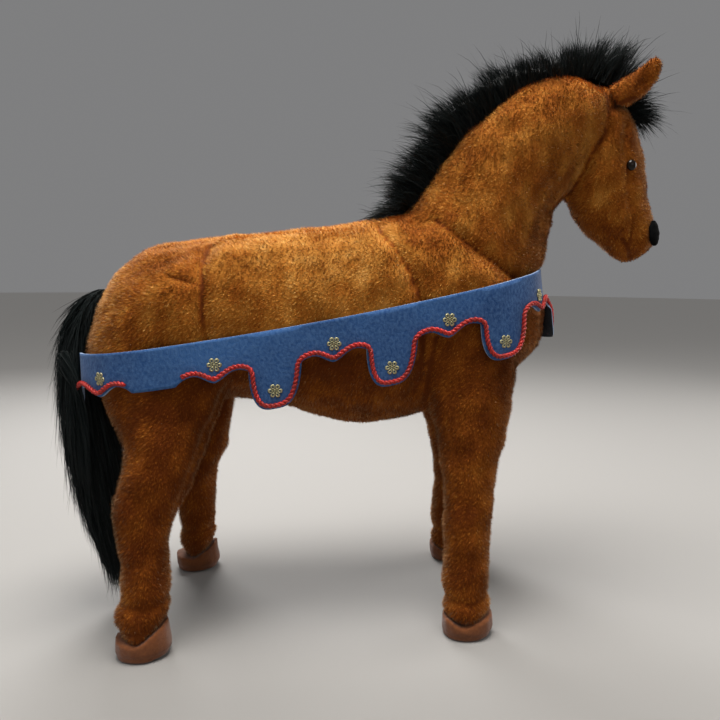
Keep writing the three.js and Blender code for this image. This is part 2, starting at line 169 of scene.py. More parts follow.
def surfaceGroup():
    # grain that several cloths share: mottled patches, short streaks and the height of both
    group = bpy.data.node_groups.new("clothGrain", "ShaderNodeTree")
    face = group.interface
    for label, kind, start in (
        ("Vector", "NodeSocketVector", None),
        ("Patch Scale", "NodeSocketFloat", 12.0),
        ("Streak Scale", "NodeSocketFloat", 220.0),
        ("Grain Scale", "NodeSocketFloat", 700.0),
    ):
        socket = face.new_socket(label, in_out="INPUT", socket_type=kind)
        if start is not None:
            socket.default_value = start
    for label in ("Patch", "Streak", "Height"):
        face.new_socket(label, in_out="OUTPUT", socket_type="NodeSocketFloat")
    nodes, links = group.nodes, group.links
    into, out = nodes.new("NodeGroupInput"), nodes.new("NodeGroupOutput")
    made = {}
    for label, detail in (("Patch", 4.0), ("Streak", 3.0), ("Grain", 2.0)):
        cloud = nodes.new("ShaderNodeTexNoise")
        cloud.inputs["Detail"].default_value = detail
        cloud.inputs["Distortion"].default_value = 0.4 if label == "Streak" else 0.0
        links.new(into.outputs["Vector"], cloud.inputs["Vector"])
        links.new(into.outputs[label + " Scale"], cloud.inputs["Scale"])
        made[label] = cloud.outputs["Fac"]
    both = nodes.new("ShaderNodeMath")
    both.operation = "MULTIPLY_ADD"
    both.inputs[1].default_value = 0.5
    links.new(made["Grain"], both.inputs[0])
    links.new(made["Streak"], both.inputs[2])
    links.new(made["Patch"], out.inputs["Patch"])
    links.new(made["Streak"], out.inputs["Streak"])
    links.new(both.outputs[0], out.inputs["Height"])
    return group


clothGrain = surfaceGroup()


def addBump(nodes, links, grain, shader, strength, depth):
    bump = nodes.new("ShaderNodeBump")
    bump.inputs["Strength"].default_value = strength
    bump.inputs["Distance"].default_value = depth
    links.new(grain.outputs["Height"], bump.inputs["Height"])
    links.new(bump.outputs["Normal"], shader.inputs["Normal"])


plainCloth = {
    "Patch Scale": 60, "Streak Scale": 400, "Grain Scale": 1500, "patchSpread": 0.2,
    "streakSpread": 0.25, "lightShare": 0.6, "bump": 0.3, "depth": 0.0008, "stretch": (1, 1, 1),
}


def clothMaterial(name, look, **values):
    # a cloth whose colour runs between three tones with the patches and the streaks
    look = {**plainCloth, **look}
    material, nodes, links, shader = newMaterial(name, **values)
    place = nodes.new("ShaderNodeTexCoord")
    turn = nodes.new("ShaderNodeMapping")
    turn.inputs["Scale"].default_value = look["stretch"]
    grain = nodes.new("ShaderNodeGroup")
    grain.node_tree = clothGrain
    links.new(place.outputs["Object"], turn.inputs["Vector"])
    links.new(turn.outputs["Vector"], grain.inputs["Vector"])
    for label in ("Patch Scale", "Streak Scale", "Grain Scale"):
        grain.inputs[label].default_value = look[label]
    ramps = []
    for source, spread in (("Patch", look["patchSpread"]), ("Streak", look["streakSpread"])):
        ramp = nodes.new("ShaderNodeMapRange")
        ramp.inputs["From Min"].default_value = 0.5 - spread
        ramp.inputs["From Max"].default_value = 0.5 + spread
        links.new(grain.outputs[source], ramp.inputs["Value"])
        ramps.append(ramp.outputs["Result"])
    first = nodes.new("ShaderNodeMix")
    first.data_type = "RGBA"
    first.inputs["A"].default_value = (*look["dark"], 1)
    first.inputs["B"].default_value = (*look["middle"], 1)
    links.new(ramps[0], first.inputs["Factor"])
    second = nodes.new("ShaderNodeMix")
    second.data_type = "RGBA"
    second.inputs["B"].default_value = (*look["light"], 1)
    weaken = nodes.new("ShaderNodeMath")
    weaken.operation = "MULTIPLY"
    weaken.inputs[1].default_value = look["lightShare"]
    links.new(ramps[1], weaken.inputs[0])
    links.new(weaken.outputs[0], second.inputs["Factor"])
    links.new(first.outputs["Result"], second.inputs["A"])
    links.new(second.outputs["Result"], shader.inputs["Base Color"])
    addBump(nodes, links, grain, shader, look["bump"], look["depth"])
    return material


softSheen = {"Roughness": 0.9, "Sheen Weight": 0.5, "Sheen Roughness": 0.4,
             "Sheen Tint": (1.0, 0.68, 0.36, 1), "Specular IOR Level": 0.08}
# the pile's tones from dark to light: they carry random tone and also painted light and shade
pileTones = [
    (0.16, 0.034, 0.004),
    (0.24, 0.057, 0.006),
    (0.33, 0.088, 0.009),
    (0.43, 0.13, 0.014),
    (0.54, 0.205, 0.028),
    (0.66, 0.29, 0.052),
    (0.78, 0.39, 0.09),
    (0.9, 0.52, 0.16),
]
pileMaterials = [
    newMaterial(f"pile{k}", **{**softSheen, "Base Color": (*tone, 1)})[0]
    for k, tone in enumerate(pileTones)
]


def backingMaterial(tones, darker):
    # the backing between the tufts takes the same tones as the pile above it, painted light and
    # shade included, a little darker
    material, nodes, links, shader = newMaterial("plushSkin", **softSheen)
    paintedLightAndTone = nodes.new("ShaderNodeAttribute")
    paintedLightAndTone.attribute_name = "paintedLightAndTone"
    ramp = nodes.new("ShaderNodeValToRGB")
    stops = ramp.color_ramp.elements
    while len(stops) < len(tones):
        stops.new(0.5)
    for k, tone in enumerate(tones):
        stops[k].position = (k + 0.5) / len(tones)
        stops[k].color = (*(c * darker for c in tone), 1)
    links.new(paintedLightAndTone.outputs["Fac"], ramp.inputs["Fac"])
    links.new(ramp.outputs["Color"], shader.inputs["Base Color"])
    place = nodes.new("ShaderNodeTexCoord")
    grain = nodes.new("ShaderNodeGroup")
    grain.node_tree = clothGrain
    grain.inputs["Streak Scale"].default_value = 300
    links.new(place.outputs["Object"], grain.inputs["Vector"])
    addBump(nodes, links, grain, shader, 0.5, 0.002)
    return material


plushSkin = backingMaterial(pileTones, 0.75)
suede = clothMaterial(
    "suede",
    {"dark": (0.08, 0.021, 0.004), "middle": (0.155, 0.042, 0.008), "light": (0.28, 0.095, 0.022),
     "Patch Scale": 45, "Streak Scale": 320, "lightShare": 0.4, "bump": 0.35, "depth": 0.001},
    **{"Roughness": 0.8, "Sheen Weight": 0.25, "Sheen Roughness": 0.5, "Specular IOR Level": 0.25},
)
hairDark = newMaterial("hairDark", **{
    "Base Color": (0.004, 0.006, 0.006, 1), "Roughness": 0.5, "Specular IOR Level": 0.2})[0]
hairSoft = newMaterial("hairSoft", **{
    "Base Color": (0.007, 0.011, 0.011, 1), "Roughness": 0.6, "Specular IOR Level": 0.15})[0]
velvet = clothMaterial(
    "velvet",
    {"dark": (0.012, 0.045, 0.15), "middle": (0.032, 0.105, 0.29), "light": (0.14, 0.27, 0.5),
     "Patch Scale": 9, "Streak Scale": 300, "Grain Scale": 1100, "patchSpread": 0.15,
     "streakSpread": 0.2, "lightShare": 0.33, "bump": 0.5, "depth": 0.0014, "stretch": (1, 1, 0.8)},
    **{"Roughness": 0.85, "Sheen Weight": 0.14, "Sheen Roughness": 0.4, "Specular IOR Level": 0.15},
)
# the band's back in near black: painted shade, standing for its inner face in shadow
shadedBandBack = clothMaterial(
    "shadedBandBack",
    {"dark": (0.008, 0.009, 0.012), "middle": (0.015, 0.017, 0.022), "light": (0.03, 0.033, 0.04),
     "Patch Scale": 30},
    **{"Roughness": 0.9, "Specular IOR Level": 0.2},
)
bandRim = clothMaterial(
    "bandRim",
    {"dark": (0.1, 0.18, 0.34), "middle": (0.22, 0.32, 0.5), "light": (0.6, 0.66, 0.76)},
    **{"Roughness": 0.9, "Specular IOR Level": 0.2},
)
redThread = clothMaterial(
    "redThread",
    {"dark": (0.18, 0.002, 0.004), "middle": (0.5, 0.006, 0.009), "light": (1.0, 0.22, 0.14),
     "Patch Scale": 90, "Streak Scale": 1100, "Grain Scale": 3000,
     "streakSpread": 0.12, "lightShare": 0.22, "bump": 0.6, "depth": 0.0006},
    **{"Roughness": 0.34, "Metallic": 0.2, "Specular IOR Level": 0.35},
)
goldThread = clothMaterial(
    "goldThread",
    {"dark": (0.2, 0.18, 0.08), "middle": (0.42, 0.38, 0.19), "light": (0.85, 0.8, 0.5),
     "Patch Scale": 200, "Streak Scale": 1800, "Grain Scale": 3000,
     "streakSpread": 0.2, "bump": 0.5, "depth": 0.0004},
    **{"Roughness": 0.38, "Metallic": 0.6, "Specular IOR Level": 0.6},
)
eyeGlass = newMaterial("eyeGlass", **{
    "Base Color": (0.008, 0.004, 0.002, 1), "Roughness": 0.15, "Specular IOR Level": 0.25})[0]
padFelt = newMaterial("padFelt", **{
    "Base Color": (0.004, 0.004, 0.004, 1), "Roughness": 0.95, "Specular IOR Level": 0.05})[0]
print("finishes ready")


# camera, floor and light

cameraView = {
    "place": (-0.0901, -0.947, 0.4424),
    "yaw": 7.954, "pitch": 6.949, "roll": 0.636,  # degrees: right of +Y, down, and tilt
    "centre": (400, 360), "side": 720, "lens": 36.0,
}


def addCamera(values):
    yaw, pitch, roll = (math.radians(values[k]) for k in ("yaw", "pitch", "roll"))
    ahead = Vector((
        math.sin(yaw) * math.cos(pitch), math.cos(yaw) * math.cos(pitch), -math.sin(pitch)))
    level = Vector((math.cos(yaw), -math.sin(yaw), 0))
    up = level.cross(ahead)
    across = math.cos(roll) * level + math.sin(roll) * up
    upright = -math.sin(roll) * level + math.cos(roll) * up
    data = bpy.data.cameras.new("camera")
    data.lens = values["lens"]
    data.sensor_width = 36.0
    data.shift_x = -(values["centre"][0] - values["side"] / 2) / values["side"]
    data.shift_y = (values["centre"][1] - values["side"] / 2) / values["side"]
    data.clip_start = 0.02
    data.clip_end = 60
    camera = linked("camera", data)
    turned = Matrix((across, upright, -ahead)).transposed().to_4x4()
    camera.matrix_world = Matrix.Translation(values["place"]) @ turned
    bpy.context.scene.camera = camera


def addLamp(name, kind, place, height, power, colour=(1, 1, 1)):
    # aimed at the horse's middle at the given height
    data = bpy.data.lights.new(name, kind)
    data.energy = power
    data.color = colour
    lamp = linked(name, data)
    lamp.location = place
    aim = Vector((0, 0, height)) - Vector(place)
    lamp.rotation_euler = aim.to_track_quat("-Z", "Y").to_euler()
    return data


def addLight(name, place, height, size, power, colour=(1, 1, 1)):
    data = addLamp(name, "AREA", place, height, power, colour)
    data.shape = "DISK"
    data.size = size


addCamera(cameraView)
addLight("overheadLight", (0.0, -0.25, 2.3), 0.4, 1.2, 52, (1.0, 0.97, 0.92))
addLamp("softSun", "SUN", (-0.25, -0.35, 1.0), 0, 1.2).angle = math.radians(40)
addLight("backLight", (-0.5, 1.5, 1.6), 0.45, 1.2, 46)
addLight("frontFill", (0.9, -2.2, 1.3), 0.4, 1.6, 4, (1.0, 0.98, 0.95))
addLight("sideLight", (2.1, 0.7, 0.9), 0.3, 1.2, 14, (1.0, 0.98, 0.95))
world = bpy.data.worlds.new("paleRoom")
world.use_nodes = True
sky = world.node_tree.nodes["Background"].inputs
sky["Color"].default_value = (0.78, 0.78, 0.79, 1)
sky["Strength"].default_value = 0.27
bpy.context.scene.world = world

deselectAll()
bpy.ops.mesh.primitive_circle_add(vertices=96, radius=14, fill_type="NGON", location=(0, 0, 0))
floor = bpy.context.active_object
floor.name = "floor"
floor.data.materials.append(newMaterial("floorPaint", **{
    "Base Color": (0.29, 0.28, 0.268, 1), "Roughness": 0.9, "Specular IOR Level": 0.2})[0])
print("camera, light and floor ready")


# the sewn body

skin = {
    "voxel": 0.0058,
    "smoothing": 26,
    "lift": 0.0003,  # makes up for what the smoothing takes off
    "seamDepth": 0.006,
    "seamWidth": 0.008,
    "puffFrames": 20,
    "pressure": 4.0,
    "mostSwell": 0.007,
    "slump": 0.0022,
    "pucker": 0.001,
    "cheekStep": 0.0022,
    "hoofFlare": 0.0032,
    "flareFrom": 0.08,
    "chin": (59.4, 66.6),
    "chinDrop": (-0.001, 0, -0.0035),
}
# seams as lines on the grid, seen from the side: sewn the same on both sides
sideSeams = {
    "shoulder": [(20.6, 71.8), (25.9, 67.6), (29.8, 65), (32.9, 62.8), (38, 59.4)],
    "behindShoulder": [
        (10.2, 71.6), (11, 69.4), (13.6, 65.8), (15.5, 62.2), (16.8, 58.3), (17.4, 50), (16.6, 42)],
    "rump": [(-18.2, 69.2), (-18.2, 67.8), (-19.2, 63.4), (-18.8, 60.1), (-18.9, 56), (-18.2, 50)],
    "cheek": [
        (50.2, 98.6), (52.4, 95), (52, 88.6), (50.1, 85.4), (48.6, 81.6), (47.1, 78.1),
        (44.4, 75), (42.4, 73.9)],
    "mouth": [(60.6, 65.2), (59.2, 67.2), (57.2, 69.4)],
    "elbow": [(19.6, 52), (19.3, 50.2), (18.7, 43.4), (18.6, 40.3)],
    "elbowTuck": [(16.2, 47.5), (19.2, 47.2)],
    "earRoot": [(53, 92.7), (55.4, 94.2), (58.2, 94.7)],
}
# folds pressed into the pile above the right hooves; the left feet stand four parts further ahead
footFolds = {
    "hindLow": [(-24.1, 7.9), (-26.3, 6.3), (-28.8, 5.1), (-32.5, 4.6)],
    "hindHigh": [(-24.3, 9.9), (-27.5, 9.1), (-32.1, 9)],
    "fore": [(20.1, 8), (22.1, 6.7), (25.2, 6.5), (28.7, 7.9)],
}
leftFootAhead = 3.97
shallowSeams = {
    "rumpDart": [(-24.4, 61.9), (-22.9, 61.4), (-19.3, 60.3)],
    "face": [(56.4, 90.6), (55.8, 86.8), (56.9, 77.7), (58, 73.5), (58.7, 68.6)],
    "thigh": [(-13.6, 48), (-14.7, 44.5), (-17.7, 37.6), (-20.9, 30.1), (-23.4, 23.4)],
}


def seamStrength(points, lines, width):
    # how near each point is to a seam seen from the side, from 0 to 1
    strength = np.zeros(len(points))
    flat = points[:, [0, 2]]
    for line in lines:
        ends = [onGrid(x, 0, z)[[0, 2]] for x, z in line]
        for a, b in zip(ends, ends[1:]):
            run = b - a
            share = np.clip(((flat - a) @ run) / (run @ run), 0, 1)
            away = np.linalg.norm(flat - (a + share[:, None] * run), axis=1)
            strength = np.maximum(strength, np.exp(-((away / width) ** 2)))
    return strength


def between(value, low, high, soft):
    return rise(value, low, soft) * rise(high - value, 0, soft)


def allSeams(points, outward, width):
    strength = seamStrength(points, sideSeams.values(), width)
    strength = np.maximum(strength, 0.75 * seamStrength(points, shallowSeams.values(), width * 0.6))
    strength *= np.abs(outward[:, 1]) > 0.25
    for side, ahead in ((-1, 0), (1, leftFootAhead)):
        lines = [[(x + ahead, z) for x, z in line] for line in footFolds.values()]
        folds = seamStrength(points, lines, width) * (points[:, 1] * side > 0)
        strength = np.maximum(strength, 0.6 * folds)
    return strength


def cheekStep(points):
    # from 1 just behind the cheek seam, where the neck's panel stands proud, to -1 just ahead of it
    line = np.array(sorted(((z, x) for x, z in sideSeams["cheek"]))) * gridStep
    ahead = points[:, 0] + gridShift - np.interp(points[:, 2], line[:, 0], line[:, 1])
    inside = between(points[:, 2], line[0, 0] - 0.01, line[-1, 0], 0.02)
    return -np.tanh(ahead / 0.003) * np.exp(-np.abs(ahead) / 0.016) * inside


# the band's top edge, on the grid but for its sag
bandLine = {"rear": 48.3, "front": 63.8, "end": 41.4, "sag": 0.010}
loopEnd = bandLine["end"] * gridStep


def bandTop(x):
    # its height, for x from the middle of the loop
    t = (x + loopEnd) / (2 * loopEnd)
    height = bandLine["rear"] + (bandLine["front"] - bandLine["rear"]) * t
    return height * gridStep - bandLine["sag"] * 4 * t * (1 - t)


paintedLightAndTone = {
    "base": 0.22, "paintedLightAboveBand": 0.17, "barrel": 0.17, "neck": 0.07, "thigh": -0.09, "upward": 0.05,
    "head": -0.03, "broad": 0.05, "streak": 0.09, "fine": 0.03, "ridgeHighlight": 0.1, "seam": 0.6,
    "cheek": 0.12, "seamWidth": 0.0034, "ridgeWidth": 0.008,
}


def toneAndPaintedLight(points, outward, seams):
    # painted light and shade with the pile's tone: lighter where it faces up and above the band,
    # darker below the band and more so at the rear, painted highlight on the seam ridges and the
    # neck's edge by the cheek, painted shade in the seam creases and on the head's side of the
    # cheek seam; the barrel and neck paler in tone and the head deeper, with random tone in patches
    # and streaks
    x, _, z = points.T
    above = rise(z, bandTop(x + gridShift) - 0.05, 0.05)
    onHead = rise(x, 0.29, 0.03) * rise(z, 0.44, 0.03)
    onNeck = above * rise(x, 0.05, 0.05) * (1 - onHead)
    onBarrel = above * between(x, -0.215, 0.06, 0.035)
    ridgeHighlight = allSeams(points, outward, paintedLightAndTone["ridgeWidth"])
    # lighter above the band, darker below it: painted light and painted shade; the barrel panel a
    # paler tone
    shade = paintedLightAndTone["base"] + paintedLightAndTone["paintedLightAboveBand"] * above + paintedLightAndTone["barrel"] * onBarrel
    # the head a deeper tone, the neck a paler one, and the rear below the band darker still:
    # painted shade
    shade += paintedLightAndTone["head"] * onHead + paintedLightAndTone["neck"] * onNeck + paintedLightAndTone["thigh"] * (1 - above) * (x < 0)
    shade += paintedLightAndTone["broad"] * waves(points, 0.07, 60)
    shade += paintedLightAndTone["streak"] * waves(points * [1, 1, 0.6], 0.014, 61)
    shade += paintedLightAndTone["fine"] * waves(points, 0.0034, 62)
    # by the cheek seam, lighter on the neck's proud edge and darker on the head's side: painted
    # highlight and painted shade
    # lighter where the pile faces up: painted light
    shade += paintedLightAndTone["upward"] * np.clip(outward[:, 2], -0.6, 1) + paintedLightAndTone["cheek"] * cheekStep(points)
    # lighter on the ridges beside each seam: painted highlight; darker down the seam crease itself:
    # painted shade
    return shade + paintedLightAndTone["ridgeHighlight"] * ridgeHighlight - paintedLightAndTone["seam"] * seams ** 2


def storeToneAndPaintedLight(mesh):
    points, outward = shapeOf(mesh)
    shade = toneAndPaintedLight(points, outward, allSeams(points, outward, paintedLightAndTone["seamWidth"]))
    # the pile's tone with its painted light and shade, kept on the points for the backing's colour
    mesh.attributes.new("paintedLightAndTone", "FLOAT", "POINT").data.foreach_set("value", shade.astype(np.float32))


def puffUp(piece, pinned, values):
    # fills the skin under pressure with its seams held, then keeps each point within reach
    before = pointsOf(piece.data)
    group = piece.vertex_groups.new(name="held")
    for index in np.nonzero(pinned > 0.35)[0]:
        group.add([int(index)], float(min(1.0, pinned[index] * 1.3)), "REPLACE")
    cloth = piece.modifiers.new("stuffing", "CLOTH")
    cloth.settings.use_pressure = True
    cloth.settings.uniform_pressure_force = values["pressure"]
    cloth.settings.effector_weights.gravity = 0
    cloth.settings.vertex_group_mass = "held"
    cloth.settings.quality = 4
    cloth.settings.mass = 0.3
    cloth.settings.tension_stiffness = cloth.settings.compression_stiffness = 20
    cloth.settings.bending_stiffness = 1.0
    scene = bpy.context.scene
    for number in range(1, values["puffFrames"] + 1):
        scene.frame_set(number)
    applyAll(piece)
    scene.frame_set(1)
    piece.vertex_groups.clear()
    after = pointsOf(piece.data)
    move = after - before
    length = np.linalg.norm(move, axis=1, keepdims=True)
    move *= np.minimum(1, values["mostSwell"] / np.maximum(length, 1e-9))
    setPoints(piece.data, before + move)


def makeBody(values):
    piece = remeshed("body", "plushBody", values)
    mesh = piece.data
    points, outward = shapeOf(mesh)
    seams = allSeams(points, outward, values["seamWidth"])
    middleSeam = np.exp(-((points[:, 1] / values["seamWidth"]) ** 2)) * (points[:, 0] > -0.3)
    puffUp(piece, np.maximum(seams, 0.6 * middleSeam), values)
    points, outward = shapeOf(mesh)
    slump = values["slump"] * waves(points, 0.06, 3) + values["pucker"] * waves(points, 0.022, 4)
    points += outward * (slump + values["lift"] - values["seamDepth"] * seams)[:, None]
    points += outward * (values["cheekStep"] * cheekStep(points))[:, None]
    # the plush fills out towards the hoof it is sewn to
    nearHoof = rise(values["flareFrom"] - points[:, 2], 0, 0.035)
    points += outward * (values["hoofFlare"] * nearHoof)[:, None]
    # the chin hangs a little over the crease of the mouth
    chinX, chinZ = values["chin"]
    chin = np.exp(-(((points - onGrid(chinX, 0, chinZ)) ** 2).sum(1) / 0.02 ** 2))
    points += chin[:, None] * np.array(values["chinDrop"])
    setPoints(mesh, points)
    storeToneAndPaintedLight(mesh)
    mesh.materials.append(plushSkin)
    return piece


plushBody = makeBody(skin)
standsFor(plushBody, "body")
print("body sewn,", len(plushBody.data.polygons), "faces")


# hooves, ears, eyes and nostrils

hoofShape = {"voxel": 0.0028, "smoothing": 8, "seamHeight": 0.006, "seamWidth": 0.0016,
             "seamDepth": 0.0012, "inset": 0.0006, "dents": 0.0008}


def makeHoof(node, values):
    piece = remeshed(node, node.replace("hoof", "boot"), values)
    points, outward = shapeOf(piece.data)
    seam = np.exp(-(((points[:, 2] - values["seamHeight"]) / values["seamWidth"]) ** 2))
    seam *= np.abs(outward[:, 2]) < 0.7
    dents = values["dents"] * waves(points, 0.018, 8)
    points += outward * (dents - values["inset"] - values["seamDepth"] * seam)[:, None]
    points[:, 2] = np.maximum(points[:, 2], 0.0)
    setPoints(piece.data, points)
    piece.data.materials.append(suede)
    standsFor(piece, node)


for end in ("fore", "hind"):
    for side in ("right", "left"):
        makeHoof(f"hoof_{end}_{side}", hoofShape)

earShape = {"voxel": 0.0022, "smoothing": 8}


def makeEar(side, values):
    piece = remeshed("ear_" + side, "plushEar_" + side, values)
    storeToneAndPaintedLight(piece.data)
    piece.data.materials.append(plushSkin)
    standsFor(piece, "ear_" + side)
    return piece


ears = [makeEar(side, earShape) for side in ("right", "left")]

eyeShape = {"radius": 0.0065, "sunk": 0.9, "form": (1, 0.72, 1.08)}


def makeEye(side, values):
    low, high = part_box("eye_" + side)
    sign = -1 if side == "right" else 1
    outer = high.y if sign > 0 else low.y
    radius = values["radius"]
    middle = outer - sign * radius * values["sunk"]
    centre = Vector(((low.x + high.x) / 2, middle, (low.z + high.z) / 2))
    deselectAll()
    bpy.ops.mesh.primitive_uv_sphere_add(segments=32, ring_count=18, radius=radius, location=centre)
    piece = bpy.context.active_object
    piece.name = "glassEye_" + side
    bpy.ops.object.mode_set(mode="EDIT")
    bpy.ops.transform.resize(value=values["form"], center_override=centre)
    bpy.ops.object.mode_set(mode="OBJECT")
    bpy.ops.object.transform_apply(location=True, rotation=True, scale=True)
    bpy.ops.object.shade_smooth()
    piece.data.materials.append(eyeGlass)
    standsFor(piece, "eye_" + side)
    return piece


eyes = [makeEye(side, eyeShape) for side in ("right", "left")]


nosePad = {"voxel": 0.0016, "smoothing": 4, "swell": 0.0004, "dents": 0.0002}


def makeNostril(side, values):
    piece = remeshed("nostril_" + side, "nosePad_" + side, values)
    points, outward = shapeOf(piece.data)
    points += outward * (values["swell"] + values["dents"] * waves(points, 0.004, 12))[:, None]
    setPoints(piece.data, points)
    piece.data.materials.append(padFelt)
    standsFor(piece, "nostril_" + side)
    return piece


nostrils = [makeNostril(side, nosePad) for side in ("right", "left")]
print("hooves, ears, eyes and nostrils ready")


# the scalloped band

bandShape = {
    "thickness": 0.003, "clear": 0.0003,
    "arch": 0.039, "dip": 0.050, "lappet": 0.092, "flare": 0.012, "tucked": 0.048,
    "pitch": 0.136, "width": 0.060, "archPlace": 0.32,
    "foldedLappet": 4, "tuckedHalf": 0.24,
    "shoulderDrop": 0.004, "rounding": 3.2,  # how a lappet leaves its arch, and how full its end is
    "curl": 0.012,  # how far the side edges of the chest lappet turn forward
    "columns": 760, "rows": 14,
}
trunkHalf = 15.6 * gridStep
loopRadius = trunkHalf + bandShape["clear"] + bandShape["thickness"] / 2
straightRun = 2 * loopEnd - 2 * loopRadius
halfLoop = math.pi * loopRadius + straightRun
evenLappets = math.floor((halfLoop - bandShape["pitch"] / 2) / bandShape["pitch"]) + 0.5


def onLoop(distance, outward=0.0):
    s = distance % (2 * halfLoop)
    quarter = math.pi / 2 * loopRadius
    radius = loopRadius + outward
    fold, side = (2 * halfLoop - s, 1) if s > halfLoop else (s, -1)
    if fold < quarter:
        angle = fold / loopRadius
        x, y = loopEnd - loopRadius + radius * math.cos(angle), radius * math.sin(angle)
    elif fold < quarter + straightRun:
        angle = math.pi / 2
        x, y = loopEnd - loopRadius - (fold - quarter), radius
    else:
        angle = (fold - straightRun) / loopRadius
        x, y = -loopEnd + loopRadius + radius * math.cos(angle), radius * math.sin(angle)
    return x, side * y, side * angle


def bandDepth(distance):
    b = bandShape
    along = abs(distance)
    even = evenLappets * b["pitch"]
    pattern = along / b["pitch"]
    if along > even:
        pattern = evenLappets + 0.5 * (along - even) / (halfLoop - even)
    nearest = round(pattern)
    away = abs(pattern - nearest)
    half = b["width"] / b["pitch"] / 2
    start = b["arch"] + b["shoulderDrop"]
    if distance > 0 and nearest == b["foldedLappet"] and away < half:
        return start + (b["tucked"] - start) * min(1.0, (half - away) / (0.2 * half))
    if away < half:
        return start + (b["lappet"] - start) * math.sqrt(1 - (away / half) ** b["rounding"])
    if away < b["archPlace"]:
        t = (b["archPlace"] - away) / (b["archPlace"] - half)
        return b["arch"] + b["shoulderDrop"] * t * t
    t = (away - b["archPlace"]) / (0.5 - b["archPlace"])
    return b["arch"] + (b["dip"] - b["arch"]) * t * t * (3 - 2 * t) * (0.75 + 0.25 * t)


def leaned(point):
    b = bandShape
    ahead = min(1.1, max(0.0, (point[0] - loopEnd) / loopRadius + 1))
    below = (bandTop(min(point[0], loopEnd)) - point[2]) / b["lappet"]
    curl = 0.0
    if point[0] > loopEnd - 0.03 and abs(point[1]) < 0.05:
        down = min(0.98, max(0.0, (below * b["lappet"] - b["arch"]) / (b["lappet"] - b["arch"])))
        halfHere = b["width"] / 2 * (1 - down ** 2) ** (1 / b["rounding"])
        curl = b["curl"] * min(1.0, abs(point[1]) / halfHere) ** 5 * min(1.0, down * 4)
    return np.array([point[0] + b["flare"] * ahead * below + curl - gridShift, point[1], point[2]])


def columnPlaces(count):
    # even along the lower edge's own length, so that steep lappet sides get columns too
    fine = np.linspace(-halfLoop, halfLoop, 6001)
    depth = np.array([bandDepth(d) for d in fine])
    run = np.concatenate([[0], np.cumsum(np.hypot(np.diff(fine), 0.7 * np.diff(depth)))])
    return np.interp(np.linspace(0, run[-1], count + 1), run, fine)[:-1]


def makeBand(values):
    stops = columnPlaces(values["columns"])
    rows = values["rows"]
    points, flatArea = [], 0.0
    for distance in stops:
        x, _, _ = onLoop(distance)
        top, depth = bandTop(x), bandDepth(distance)
        sway, ripple = 0.0006 * math.sin(distance * 41 + 2), 0.0004 * math.sin(distance * 97)
        for r in range(rows + 1):
            px, py, _ = onLoop(distance, sway * r / rows + ripple)
            points.append(leaned((px, py, top - depth * r / rows)))
    for a, b in zip(stops, [*stops[1:], stops[0] + 2 * halfLoop]):
        home = b if b <= halfLoop else b - 2 * halfLoop
        flatArea += (b - a) * (bandDepth(a) + bandDepth(home)) / 2
    count = len(stops)
    faces = [
        (c * (rows + 1) + r, c * (rows + 1) + r + 1,
         (c + 1) % count * (rows + 1) + r + 1, (c + 1) % count * (rows + 1) + r)
        for c in range(count) for r in range(rows)
    ]
    piece = newPiece("feltBand", points, faces, [velvet, shadedBandBack, bandRim])
    mesh = piece.data
    centre = np.array([-gridShift, 0, 0])
    face = mesh.polygons[0]
    if Vector(face.normal).dot(Vector(np.array(face.center) - centre)) < 0:
        mesh.flip_normals()
    thicker = piece.modifiers.new("thickness", "SOLIDIFY")
    thicker.thickness = values["thickness"]
    thicker.offset = 0
    thicker.material_offset = 1
    thicker.material_offset_rim = 2
    applyAll(piece)
    return piece, flatArea


feltBand, bandFlatArea = makeBand(bandShape)
standsFor(feltBand, "band")
print("band ready, loop", round(2 * halfLoop, 3), "m, flat area", round(bandFlatArea, 4))


# the twisted trim

trim = {"radius": 0.0031, "ply": 0.0018, "twist": 0.0105, "sides": 6,
        "step": 0.0012, "inset": 0.0046}


def softened(line, rounds):
    for _ in range(rounds):
        line[1:-1] = (line[:-2] + 2 * line[1:-1] + line[2:]) / 4


def readOff(line, at, places):
    return np.stack([np.interp(at, places, column) for column in line.T], 1)


def spreadEvenly(line, at):
    # the points at given lengths along a line, or that many of them evenly spaced
    run = np.concatenate([[0], np.cumsum(np.linalg.norm(np.diff(line, axis=0), axis=1))])
    even = np.linspace(0, run[-1], at) if isinstance(at, int) else np.arange(0, run[-1], at)
    return readOff(line, even, run), even


def trimRoute():
    b = bandShape
    start = (b["foldedLappet"] + b["tuckedHalf"]) * b["pitch"] - 2 * halfLoop
    stop = (b["foldedLappet"] - b["tuckedHalf"]) * b["pitch"]
    out = b["thickness"] / 2 + b["clear"] + trim["radius"]
    # the edge on the flat, stepped inwards across its own line, then laid on the band's face
    along = np.linspace(start, stop, 5200)
    home = np.where(along < -halfLoop, along + 2 * halfLoop, along)
    edge, _ = spreadEvenly(np.stack([along, [-bandDepth(d) for d in home]], 1), 3000)
    softened(edge, 10)
    ahead = unit(np.gradient(edge, axis=0))
    edge += trim["inset"] * np.stack([-ahead[:, 1], ahead[:, 0]], 1)
    softened(edge, 20)
    spots = []
    for distance, below in edge:
        x, y, _ = onLoop(distance, out)
        spots.append(leaned((x, y, bandTop(onLoop(distance)[0]) + below)))
    route, run = spreadEvenly(np.array(spots), trim["step"])
    softened(route, 4)
    return route, run


